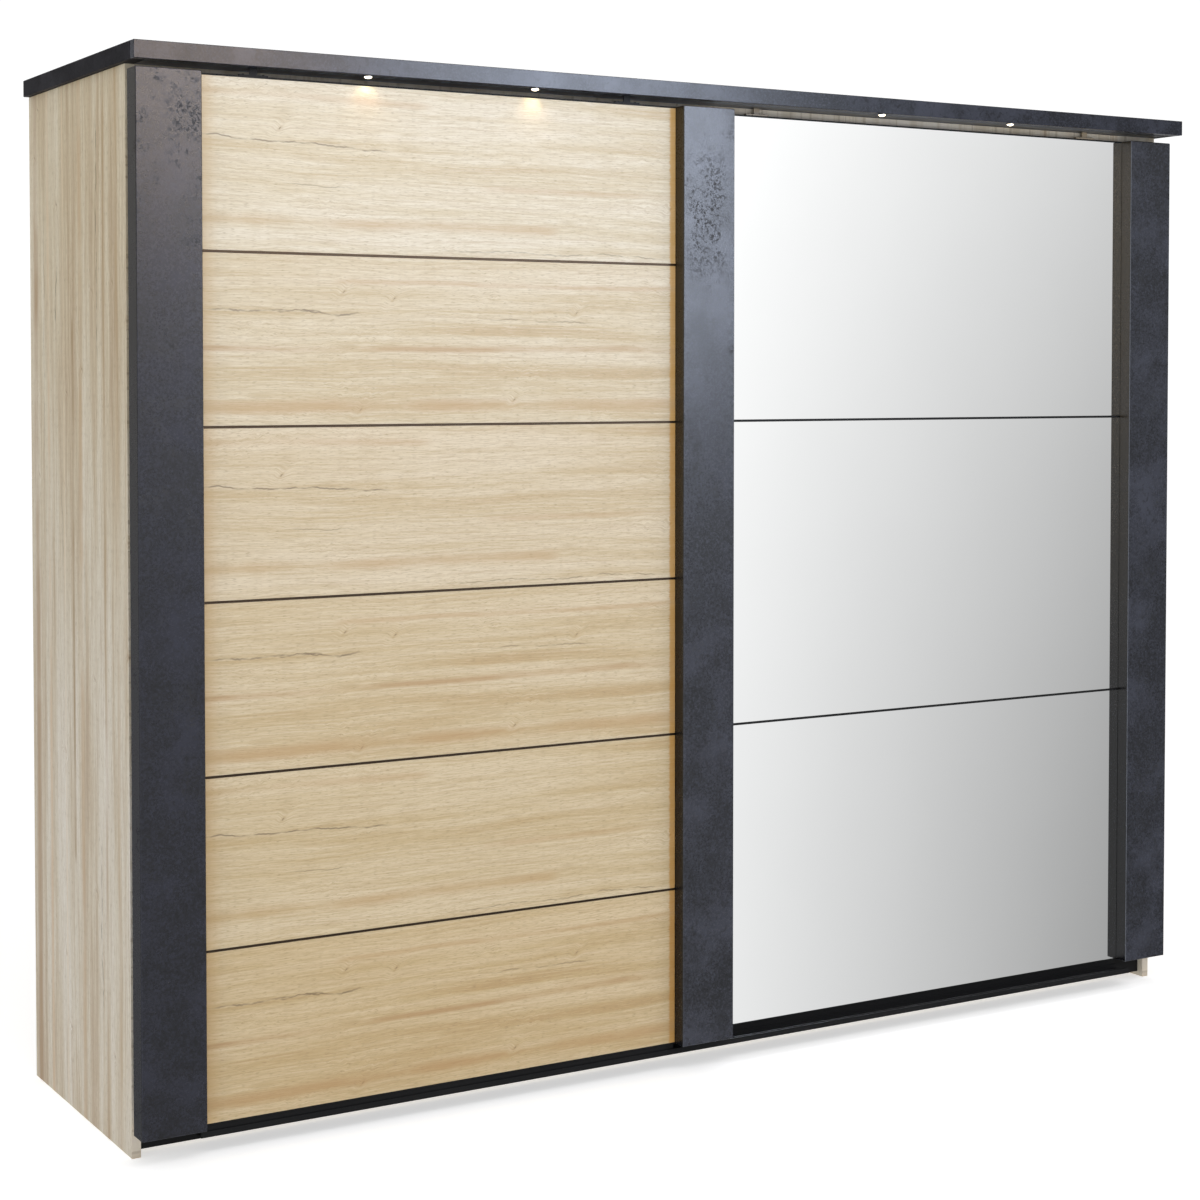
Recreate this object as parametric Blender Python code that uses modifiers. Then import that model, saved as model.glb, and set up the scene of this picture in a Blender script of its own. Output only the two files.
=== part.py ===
# Two-door sliding wardrobe: an oak carcass on the floor, a slate cornice with four light spots,
# a front door of oak boards and a rear door of mirror, both hung from rollers in a double top track.
# Metres, +Z up. The front faces -Y, and the origin is on the floor below the middle of the whole.

import math

import bmesh
import bpy
from mathutils import Matrix

# Whole object
WIDTH = 2.700              # over the cornice and the outer pilasters
HEIGHT = 2.155             # floor to the top of the cornice
CARCASS_DEPTH = 0.622      # side panels, front edge to back
BOARD = 0.019              # carcass boards
FIT = 0.0003               # gap between pieces that touch

# Carcass
SIDE_OVERHANG = 0.012      # cornice and pilasters stand out past the side panels
CORNICE_HEIGHT = 0.035
CORNICE_BOARD = 0.019
PLINTH_LIFT = 0.011        # gap under the plinth
PLINTH_TOP = 0.075
PLINTH_SETBACK = 0.0165
PLINTH_BOARD = 0.016
REAR_PLINTH_SETBACK = 0.030
BACK_PANEL = 0.005
BACK_RECESS = 0.001        # back panels sit this far inside the side panels' rear edges
HAT_SPACE = 0.361          # hat shelf to the top panel
SHELF_SETBACK = 0.020
HANG_RAIL_RADIUS = 0.0125
HANG_RAIL_DROP = 0.060     # rail axis below the hat shelf
HANG_FLANGE_RADIUS = 0.0225
HANG_FLANGE = 0.004

# Doors
DOOR_BOTTOM = 0.061
DOOR_TOP_GAP = 0.016       # doors' top to the underside of the cornice
DOOR_OVERLAP = 0.012       # rear door behind the front door when both are shut
PILASTER_WIDTH = 0.132
CARCASS_GAP = 0.002        # carcass to the rear door
BACKING = 0.006            # board behind the mirrors
MIRROR = 0.004
MIRROR_PROUD = 0.032       # rear door's pilaster ahead of its mirror
PASS_GAP = 0.0025          # rear door's pilaster to the front door
OAK_BOARD = 0.015
OAK_PROUD = 0.0325         # front door's pilasters ahead of its boards
OAK_PANELS = 6
MIRROR_PANES = 3
TRIM = 0.004               # strips between boards, and between panes
TRIM_PROUD = 0.0005
EDGE_PROFILE = 0.003       # metal strips on the doors' tops and bottoms
MIRROR_EDGE = 0.008        # metal strip on the rear door's hidden edge
STOP_GAP = 0.004           # an open door stops this far from the other door's pilaster

# Top track and rollers
CHANNEL_WALL = 0.002
CHANNEL_FLOOR = 0.0025
CHANNEL_ROOF = 0.0022
TRACK_FLANGE = 0.003
TRACK_FLANGE_DEPTH = 0.060
ROLLER_RADIUS = 0.009
ROLLER_LIFT = 0.0005       # roller tread to the channel floor
ROLLER_HEADROOM = 0.0022
ROLLER_SIDE_PLAY = 0.002
ROLLER_HALF = 0.008
WHEEL_INSET = 0.0025       # inner face of each wheel from the middle
AXLE_RADIUS = 0.002
AXLE_CLEARANCE = 0.0004
HANGER_INSET = 0.120       # hanger from the pilaster beside it
HANGER_PLATE = (0.060, 0.009, 0.003)
HANGER_BLADE = (0.016, 0.003)
SLOT_PLAY = 0.0015
HANGER_HEAD = 0.0055       # blade above the axle
STOP_LENGTH = 0.020
STOP_HEIGHT = 0.016
STOP_PLAY = 0.001

# Bottom guide
RAIL_DROP = 0.012          # doors' bottom to the top of the rail's walls
RAIL_HEIGHT = 0.012
RAIL_FLOOR = 0.003
RAIL_WALL = 0.0025
RAIL_FLANGE = 0.026        # height of the flange screwed to the plinth
FIN = 0.003
FIN_PLAY = 0.001
FIN_CLEARANCE = 0.002      # fin tip to the groove's floor

# Light spots
SPOT_RADIUS = 0.009
SPOT_HEIGHT = 0.006
SPOT_SPREAD = 0.190        # each spot from the middle of its door's visible face

# Places worked out from the sizes. A depth counts forward from the carcass's front edges.
rear_door_back = CARCASS_GAP
mirror_back = rear_door_back + BACKING
mirror_face = mirror_back + MIRROR
rear_pilaster_face = mirror_face + MIRROR_PROUD
oak_back = rear_pilaster_face + PASS_GAP
oak_face = oak_back + OAK_BOARD
front_pilaster_face = oak_face + OAK_PROUD
rear_plane = (rear_door_back + mirror_face) / 2
front_plane = (oak_back + oak_face) / 2
carcass_y = front_pilaster_face - (CARCASS_DEPTH + front_pilaster_face) / 2

half = WIDTH / 2
side_outer = half - SIDE_OVERHANG
side_inner = side_outer - BOARD
soffit = HEIGHT - CORNICE_HEIGHT
door_top = soffit - DOOR_TOP_GAP
door_width = half + DOOR_OVERLAP / 2
door_travel = WIDTH - door_width - PILASTER_WIDTH - STOP_GAP
back_face = -CARCASS_DEPTH + BACK_RECESS + BACK_PANEL
hat_shelf_top = soffit - BOARD - HAT_SPACE

channel_inner = 2 * (ROLLER_HALF + ROLLER_SIDE_PLAY)
channel_outer = channel_inner + 2 * CHANNEL_WALL
track_bottom = soffit + FIT
channel_floor = track_bottom + CHANNEL_FLOOR
axle_z = channel_floor + ROLLER_LIFT + ROLLER_RADIUS
channel_roof = axle_z + ROLLER_RADIUS + ROLLER_HEADROOM
track_top = channel_roof + CHANNEL_ROOF
track_front = front_plane + channel_outer / 2
cornice_back = track_front + FIT
cornice_face = cornice_back + CORNICE_BOARD

rail_top = DOOR_BOTTOM - RAIL_DROP
rail_bottom = rail_top - RAIL_HEIGHT
rail_floor = rail_bottom + RAIL_FLOOR
groove = FIN + 2 * FIN_PLAY
rail_end = half - PILASTER_WIDTH - FIT
bottom_top = PLINTH_TOP + FIT + BOARD

OAK = ((0.71, 0.60, 0.44), 0.55, 0.0)
OAK_SIDE = ((0.54, 0.47, 0.36), 0.60, 0.0)
SLATE = ((0.045, 0.050, 0.065), 0.35, 0.0)
BLACK = ((0.005, 0.005, 0.005), 0.45, 0.0)
BRONZE = ((0.10, 0.065, 0.040), 0.40, 0.6)
ALUMINIUM = ((0.30, 0.31, 0.33), 0.35, 1.0)
STEEL = ((0.50, 0.51, 0.53), 0.30, 1.0)
MIRROR_GLASS = ((0.90, 0.91, 0.92), 0.02, 1.0)
HARDBOARD = ((0.62, 0.58, 0.50), 0.80, 0.0)
NYLON = ((0.80, 0.80, 0.78), 0.45, 0.0)
RUBBER = ((0.02, 0.02, 0.02), 0.80, 0.0)
LENS = ((1.0, 0.90, 0.65), 0.20, 0.0)


def clear_scene():
    for item in list(bpy.data.objects):
        bpy.data.objects.remove(item, do_unlink=True)


def new_collection(name):
    collection = bpy.data.collections.new(name)
    bpy.context.scene.collection.children.link(collection)
    return collection


def finish(item, look, parent=None):
    colour, roughness, metallic = look
    material = bpy.data.materials.new(item.name + "_finish")
    material.use_nodes = True
    shader = material.node_tree.nodes["Principled BSDF"]
    shader.inputs["Base Color"].default_value = (*colour, 1.0)
    shader.inputs["Roughness"].default_value = roughness
    shader.inputs["Metallic"].default_value = metallic
    item.data.materials.append(material)
    if parent:
        item.parent = parent
        item.location = item.location - parent.location
    return item


def block(name, x, depth, z, look, parent=None, edge=0.0006, collection=None):
    """A box from its low and high x, depth ahead of the carcass, and height, with eased edges."""
    size = (x[1] - x[0], depth[1] - depth[0], z[1] - z[0])
    shape = bmesh.new()
    bmesh.ops.create_cube(shape, size=1.0, matrix=Matrix.Diagonal((*size, 1.0)))
    mesh = bpy.data.meshes.new(name)
    shape.to_mesh(mesh)
    shape.free()
    item = bpy.data.objects.new(name, mesh)
    item.location = (sum(x) / 2, carcass_y - sum(depth) / 2, sum(z) / 2)
    (collection or parts).objects.link(item)
    if edge:
        bevel = item.modifiers.new("eased_edges", "BEVEL")
        bevel.width = edge
        bevel.segments = 1
        bevel.limit_method = "ANGLE"
    return finish(item, look, parent)


def extrusion(name, outline, x, look, parent=None):
    """A section of (depth, height) points, drawn out from the low to the high x."""
    curve = bpy.data.curves.new(name, "CURVE")
    curve.dimensions = "2D"
    curve.fill_mode = "BOTH"
    curve.extrude = (x[1] - x[0]) / 2
    spline = curve.splines.new("POLY")
    spline.points.add(len(outline) - 1)
    for point, (depth, height) in zip(spline.points, outline):
        point.co = (-depth, height, 0.0, 1.0)
    spline.use_cyclic_u = True
    item = bpy.data.objects.new(name, curve)
    item.rotation_euler = (math.pi / 2, 0.0, math.pi / 2)
    item.location = (sum(x) / 2, carcass_y, 0.0)
    parts.objects.link(item)
    return finish(item, look, parent)


def turned(name, profile, place, rotation, look, parent=None, steps=32):
    """A (radius, height) profile, top to bottom, turned round its own Z and then placed."""
    mesh = bpy.data.meshes.new(name)
    mesh.from_pydata([(radius, 0.0, height) for radius, height in profile],
                     [(i, i + 1) for i in range(len(profile) - 1)], [])
    item = bpy.data.objects.new(name, mesh)
    item.location = place
    item.rotation_euler = rotation
    parts.objects.link(item)
    screw = item.modifiers.new("turn", "SCREW")
    screw.steps = steps
    screw.render_steps = steps
    screw.use_merge_vertices = True
    screw.merge_threshold = 0.00001
    screw.use_smooth_shade = True
    return finish(item, look, parent)


def combine(item, tool, operation):
    tool.hide_render = True
    tool.display_type = "WIRE"
    modifier = item.modifiers.new(operation.lower(), "BOOLEAN")
    modifier.operation = operation
    modifier.solver = "EXACT"
    modifier.object = tool


def span(start, length):
    return (start, start + length)


def make_carcass():
    carcass = (-CARCASS_DEPTH, 0.0)
    inside = (-side_inner + FIT, side_inner - FIT)
    under_cornice = (0.0, soffit)
    block("side_panel_left", (-side_outer, -side_inner), carcass, under_cornice, OAK_SIDE)
    block("side_panel_right", (side_inner, side_outer), carcass, under_cornice, OAK_SIDE)
    boards = (back_face + FIT, 0.0)
    block("top_panel", inside, boards, (soffit - BOARD, soffit), OAK_SIDE)
    block("bottom_panel", inside, boards, span(PLINTH_TOP + FIT, BOARD), OAK_SIDE)
    upright = (bottom_top + FIT, soffit - BOARD - FIT)
    block("centre_partition", (-BOARD / 2, BOARD / 2), boards, upright, OAK_SIDE)
    back_depth = (back_face - BACK_PANEL, back_face)
    back_z = (PLINTH_TOP + FIT, soffit)
    block("back_panel_left", (inside[0], -FIT), back_depth, back_z, HARDBOARD, edge=0)
    block("back_panel_right", (FIT, inside[1]), back_depth, back_z, HARDBOARD, edge=0)
    plinth_z = (PLINTH_LIFT, PLINTH_TOP)
    block("plinth", inside, span(-PLINTH_SETBACK - PLINTH_BOARD, PLINTH_BOARD), plinth_z, BLACK)
    rear_depth = span(-CARCASS_DEPTH + REAR_PLINTH_SETBACK, PLINTH_BOARD)
    block("rear_plinth", inside, rear_depth, plinth_z, BLACK)


def make_interior():
    middle = carcass_y + CARCASS_DEPTH / 2
    for side, x in (("left", (-side_inner + FIT, -BOARD / 2 - FIT)),
                    ("right", (BOARD / 2 + FIT, side_inner - FIT))):
        block("hat_shelf_" + side, x, (back_face + FIT, -SHELF_SETBACK),
              (hat_shelf_top - BOARD, hat_shelf_top), OAK_SIDE)
        reach = (x[1] - x[0]) / 2
        neck = reach - HANG_FLANGE
        profile = [(0.0, reach), (HANG_FLANGE_RADIUS, reach), (HANG_FLANGE_RADIUS, neck),
                   (HANG_RAIL_RADIUS, neck), (HANG_RAIL_RADIUS, -neck), (HANG_FLANGE_RADIUS, -neck),
                   (HANG_FLANGE_RADIUS, -reach), (0.0, -reach)]
        height = hat_shelf_top - BOARD - HANG_RAIL_DROP
        turned("hanging_rail_" + side, profile, (sum(x) / 2, middle, height),
               (0.0, math.pi / 2, 0.0), STEEL)


def make_cornice():
    z = (soffit + FIT, HEIGHT)
    block("cornice_front", (-half, half), (cornice_back, cornice_face), (soffit, HEIGHT), SLATE, edge=0.001)
    side_depth = (-CARCASS_DEPTH, cornice_back - FIT)
    block("cornice_left", (-half, -side_inner), side_depth, z, SLATE, edge=0.001)
    block("cornice_right", (side_inner, half), side_depth, z, SLATE, edge=0.001)
    drop = [(0.0, 0.0), (1.0, 0.0), (1.0, 0.6), (0.86, 0.75), (0.72, 0.75), (0.66, 0.9), (0.35, 0.98),
            (0.0, 1.0)]
    profile = [(radius * SPOT_RADIUS, -height * SPOT_HEIGHT) for radius, height in drop]
    oak_middle = -half + door_width / 2
    mirror_middle = (-half + door_width + half - PILASTER_WIDTH) / 2
    places = [middle + side * SPOT_SPREAD for middle in (oak_middle, mirror_middle) for side in (-1, 1)]
    y = carcass_y - (cornice_back + cornice_face) / 2
    for number, x in enumerate(places, start=1):
        turned(f"light_spot_{number}", profile, (x, y, soffit - FIT), (0.0, 0.0, 0.0), LENS)


def channel(centre):
    """The hollow of one roller channel, from the rear edge of its slot to the front edge."""
    slot, inner = HANGER_BLADE[1] / 2 + SLOT_PLAY, channel_inner / 2
    return [(centre - slot, track_bottom), (centre - slot, channel_floor), (centre - inner, channel_floor),
            (centre - inner, channel_roof), (centre + inner, channel_roof), (centre + inner, channel_floor),
            (centre + slot, channel_floor), (centre + slot, track_bottom)]


def make_top_track():
    """One section with both channels, a flange over the top panel and an open trough between."""
    outer = channel_outer / 2
    flange_top = track_bottom + TRACK_FLANGE
    outline = [(-TRACK_FLANGE_DEPTH, track_bottom)]
    outline += channel(rear_plane) + channel(front_plane)
    outline += [(track_front, track_bottom), (track_front, track_top), (front_plane - outer, track_top),
                (front_plane - outer, channel_floor), (rear_plane + outer, channel_floor),
                (rear_plane + outer, track_top), (rear_plane - outer, track_top),
                (rear_plane - outer, flange_top), (-TRACK_FLANGE_DEPTH, flange_top)]
    extrusion("top_track", outline, (-side_inner + FIT, side_inner - FIT), ALUMINIUM)


def guide(centre):
    """The two walls of one guide groove, front to rear."""
    inner, outer = groove / 2, groove / 2 + RAIL_WALL
    return [(centre + outer, rail_floor), (centre + outer, rail_top), (centre + inner, rail_top),
            (centre + inner, rail_floor), (centre - inner, rail_floor), (centre - inner, rail_top),
            (centre - outer, rail_top), (centre - outer, rail_floor)]


def make_bottom_rail():
    """One section with both grooves and a flange against the plinth."""
    back = -PLINTH_SETBACK + FIT
    flange_top = rail_bottom + RAIL_FLANGE
    outline = [(back, flange_top), (back, rail_bottom)]
    outline += [(front_plane + groove / 2 + RAIL_WALL, rail_bottom)] + guide(front_plane)[1:]
    outline += guide(rear_plane)
    outline += [(back + RAIL_WALL, rail_floor), (back + RAIL_WALL, flange_top)]
    extrusion("bottom_guide_rail", outline, (-rail_end, rail_end), BLACK)


def runner(name, x, depth, plane, parent):
    """A door's bottom strip with the fin that runs in the guide rail."""
    low, high = DOOR_BOTTOM, DOOR_BOTTOM + EDGE_PROFILE
    tip = rail_floor + FIN_CLEARANCE
    outline = [(depth[0], high), (depth[0], low), (plane - FIN / 2, low), (plane - FIN / 2, tip),
               (plane + FIN / 2, tip), (plane + FIN / 2, low), (depth[1], low), (depth[1], high)]
    extrusion(name, outline, x, BLACK, parent)


def hanger(name, x, plane, parent):
    """A foot on the door's top, a blade up through the track's slot, and a hole for the axle."""
    length, width, thickness = HANGER_PLATE
    across, thin = HANGER_BLADE
    foot = door_top + FIT
    plate = block(name, (x - length / 2, x + length / 2), (plane - width / 2, plane + width / 2),
                  (foot, foot + thickness), STEEL, parent, edge=0)
    blade = block(name + "_blade", (x - across / 2, x + across / 2), (plane - thin / 2, plane + thin / 2),
                  (foot + thickness / 2, axle_z + HANGER_HEAD), STEEL, parent, edge=0, collection=cutters)
    shape = bmesh.new()
    bmesh.ops.create_cone(shape, cap_ends=True, segments=24, radius1=AXLE_RADIUS + AXLE_CLEARANCE,
                          radius2=AXLE_RADIUS + AXLE_CLEARANCE, depth=width)
    mesh = bpy.data.meshes.new(name + "_axle_hole")
    shape.to_mesh(mesh)
    shape.free()
    hole = bpy.data.objects.new(name + "_axle_hole", mesh)
    cutters.objects.link(hole)
    hole.parent = parent
    hole.rotation_euler = (math.pi / 2, 0.0, 0.0)
    hole.location = (x - parent.location.x, carcass_y - plane - parent.location.y, axle_z)
    combine(plate, blade, "UNION")
    combine(plate, hole, "DIFFERENCE")


def roller(name, x, plane, parent):
    """Two wheels on one axle, turned as one piece, with its origin on the axle."""
    ease = 0.0006
    profile = [(0.0, ROLLER_HALF), (ROLLER_RADIUS - ease, ROLLER_HALF), (ROLLER_RADIUS, ROLLER_HALF - ease),
               (ROLLER_RADIUS, WHEEL_INSET + ease), (ROLLER_RADIUS - ease, WHEEL_INSET),
               (AXLE_RADIUS, WHEEL_INSET)]
    profile += [(radius, -height) for radius, height in reversed(profile)]
    turned(name, profile, (x, carcass_y - plane, axle_z), (math.pi / 2, 0.0, 0.0), NYLON, parent, steps=28)


def stop(name, x, plane):
    depth = plane - ROLLER_HALF, plane + ROLLER_HALF
    block(name, x, depth, span(channel_floor + FIT, STOP_HEIGHT), RUBBER)


def door_hardware(prefix, x, plane, parent, opens):
    """Two hangers with rollers, and the stops that end the door's travel. opens is +1 or -1 along X."""
    places = (x[0] + HANGER_INSET, x[1] - HANGER_INSET)
    for side, place in zip(("left", "right"), places):
        hanger(f"{prefix}_hanger_{side}", place, plane, parent)
        roller(f"{prefix}_roller_{side}", place, plane, parent)
    reach = ROLLER_RADIUS + STOP_PLAY
    left = places[0] - reach - (door_travel if opens < 0 else 0.0)
    right = places[1] + reach + (door_travel if opens > 0 else 0.0)
    stop(f"{prefix}_stop_left", (left - STOP_LENGTH, left), plane)
    stop(f"{prefix}_stop_right", (right, right + STOP_LENGTH), plane)


def strips(count, low, high):
    """The low and high of each of count equal boards with a trim between them."""
    pitch = (high - low + TRIM) / count
    return [(low + number * pitch, low + (number + 1) * pitch - TRIM) for number in range(count)]


def body_origin(name, x, plane):
    item = bpy.data.objects.new(name, None)
    item.location = (x, carcass_y - plane, 0.0)
    parts.objects.link(item)
    return item


def make_oak_door():
    start, end = -half, -half + door_width
    door = body_origin("oak_door", (start + end) / 2, front_plane)
    z = (DOOR_BOTTOM, door_top)
    pilaster = (oak_back, front_pilaster_face)
    block("oak_pilaster_left", span(start, PILASTER_WIDTH), pilaster, z, SLATE, door, edge=0.0015)
    block("oak_pilaster_centre", span(end - PILASTER_WIDTH, PILASTER_WIDTH), pilaster, z, SLATE, door,
          edge=0.0015)
    x = (start + PILASTER_WIDTH + FIT, end - PILASTER_WIDTH - FIT)
    depth = (oak_back, oak_face)
    boards = strips(OAK_PANELS, DOOR_BOTTOM + EDGE_PROFILE, door_top - EDGE_PROFILE)
    for number, (low, high) in enumerate(boards, start=1):
        block(f"oak_panel_{number}", x, depth, (low + FIT, high - FIT), OAK, door)
        if number < OAK_PANELS:
            block(f"oak_trim_{number}", x, (oak_back, oak_face + TRIM_PROUD), span(high, TRIM), BRONZE, door,
                  edge=0)
    block("oak_door_top_profile", x, depth, (door_top - EDGE_PROFILE, door_top), BLACK, door, edge=0)
    runner("oak_door_runner", x, depth, front_plane, door)
    door_hardware("oak", x, front_plane, door, 1)


def make_mirror_door():
    start, end = half - door_width, half
    door = body_origin("mirror_door", (start + end) / 2, rear_plane)
    z = (DOOR_BOTTOM, door_top)
    depth = (rear_door_back, mirror_face)
    block("mirror_pilaster_right", span(end - PILASTER_WIDTH, PILASTER_WIDTH),
          (rear_door_back, rear_pilaster_face), z, SLATE, door, edge=0.0015)
    block("mirror_edge_profile", span(start, MIRROR_EDGE), (depth[0], depth[1] + TRIM_PROUD), z, BLACK, door,
          edge=0)
    x = (start + MIRROR_EDGE + FIT, end - PILASTER_WIDTH - FIT)
    low, high = DOOR_BOTTOM + EDGE_PROFILE, door_top - EDGE_PROFILE
    block("mirror_backing", x, (rear_door_back, mirror_back - FIT), (low + FIT, high - FIT), HARDBOARD, door,
          edge=0)
    panes = strips(MIRROR_PANES, low, high)
    for number, (low, high) in enumerate(panes, start=1):
        block(f"mirror_pane_{number}", x, (mirror_back, mirror_face), (low + FIT, high - FIT), MIRROR_GLASS,
              door, edge=0.0004)
        if number < MIRROR_PANES:
            block(f"mirror_trim_{number}", x, (mirror_back, mirror_face + TRIM_PROUD), span(high, TRIM),
                  BLACK, door, edge=0)
    block("mirror_door_top_profile", x, depth, (door_top - EDGE_PROFILE, door_top), BLACK, door, edge=0)
    runner("mirror_door_runner", x, depth, rear_plane, door)
    door_hardware("mirror", x, rear_plane, door, -1)


clear_scene()
parts = new_collection("sliding_door_wardrobe")
cutters = new_collection("cutters")
make_carcass()
make_interior()
make_cornice()
make_top_track()
make_bottom_rail()
make_oak_door()
make_mirror_door()
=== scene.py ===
import math

import bmesh
import bpy
from mathutils import Euler, Matrix, Vector


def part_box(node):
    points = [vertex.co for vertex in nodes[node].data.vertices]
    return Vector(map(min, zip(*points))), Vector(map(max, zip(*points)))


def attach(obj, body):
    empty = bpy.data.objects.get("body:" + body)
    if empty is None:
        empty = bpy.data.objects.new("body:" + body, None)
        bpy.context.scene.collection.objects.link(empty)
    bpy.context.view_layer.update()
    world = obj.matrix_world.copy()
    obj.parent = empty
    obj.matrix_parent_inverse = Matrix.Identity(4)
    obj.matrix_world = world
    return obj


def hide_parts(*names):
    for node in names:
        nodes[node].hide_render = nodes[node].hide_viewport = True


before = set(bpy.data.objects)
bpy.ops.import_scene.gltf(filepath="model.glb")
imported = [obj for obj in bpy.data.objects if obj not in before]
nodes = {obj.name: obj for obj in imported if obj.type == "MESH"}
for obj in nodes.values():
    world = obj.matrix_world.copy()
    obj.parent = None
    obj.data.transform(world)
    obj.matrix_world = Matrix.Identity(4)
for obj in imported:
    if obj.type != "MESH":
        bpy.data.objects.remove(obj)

scene = bpy.context.scene
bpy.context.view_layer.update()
print("wardrobe loaded:", len(nodes), "nodes")

# ---- small tools for materials and pieces


def linear(code):
    # an sRGB hex colour as the linear values that the nodes take
    parts = [int(code[i:i + 2], 16) / 255 for i in (1, 3, 5)]
    return tuple(c / 12.92 if c <= 0.04045 else ((c + 0.055) / 1.055) ** 2.4 for c in parts) + (1.0,)


def addNode(tree, kind, feeds=None, **settings):
    # a node with its settings, and for each input a value or the socket that feeds it
    node = tree.nodes.new(kind)
    for name, value in settings.items():
        setattr(node, name, value)
    for socket, value in (feeds or {}).items():
        if isinstance(value, bpy.types.NodeSocket):
            tree.links.new(value, node.inputs[socket])
        else:
            node.inputs[socket].default_value = value
    return node


def newMaterial(name):
    material = bpy.data.materials.new(name)
    material.use_nodes = True
    tree = material.node_tree
    return material, tree, tree.nodes["Principled BSDF"]


def ramp(tree, factor, *stops):
    # a colour ramp from (position, hex colour) stops
    node = addNode(tree, "ShaderNodeValToRGB", {0: factor})
    while len(node.color_ramp.elements) < len(stops):
        node.color_ramp.elements.new(0.5)
    for element, (position, code) in zip(node.color_ramp.elements, stops):
        element.position, element.color = position, linear(code)
    return node.outputs[0]


def calc(tree, operation, *values, clamp=False):
    node = addNode(tree, "ShaderNodeMath", dict(enumerate(values)), operation=operation, use_clamp=clamp)
    return node.outputs[0]


def fade(tree, value, start, end, low=0.0, high=1.0):
    # low at start and high at end, eased between them
    return addNode(tree, "ShaderNodeMapRange", {0: value, 1: start, 2: end, 3: low, 4: high},
                   interpolation_type="SMOOTHSTEP").outputs[0]


def tint(tree, factor, under, over, blend="MIX"):
    return addNode(tree, "ShaderNodeMix", {0: factor, 6: under, 7: over}, data_type="RGBA",
                   blend_type=blend).outputs[2]


def wear(material, *names):
    # gives a finish to CAD nodes
    for name in names:
        mesh = nodes[name].data
        mesh.materials.clear()
        mesh.materials.append(material)


# ---- camera

cameraPlace = {"at": (-2.7926, -4.5007, 1.5157), "turn": 30.668, "dip": 1.835, "lens": 68.42, "lift": -0.1232}
cameraData = bpy.data.cameras.new("camera")
cameraData.lens = cameraPlace["lens"]
cameraData.sensor_width = 36
cameraData.shift_y = cameraPlace["lift"]
cameraData.clip_end = 60
camera = bpy.data.objects.new("camera", cameraData)
scene.collection.objects.link(camera)
camera.location = cameraPlace["at"]
camera.rotation_euler = (math.radians(90 - cameraPlace["dip"]), 0, math.radians(-cameraPlace["turn"]))
scene.camera = camera

# ---- oak decor

upright = Matrix(((0, 0, 1), (1, 0, 0), (0, 1, 0))).to_euler()  # grain up a panel that faces left or right
lying = Matrix(((1, 0, 0), (0, 0, -1), (0, 1, 0))).to_euler()  # grain along a shelf
level = Euler((0, 0, 0))  # grain along a door board


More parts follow.
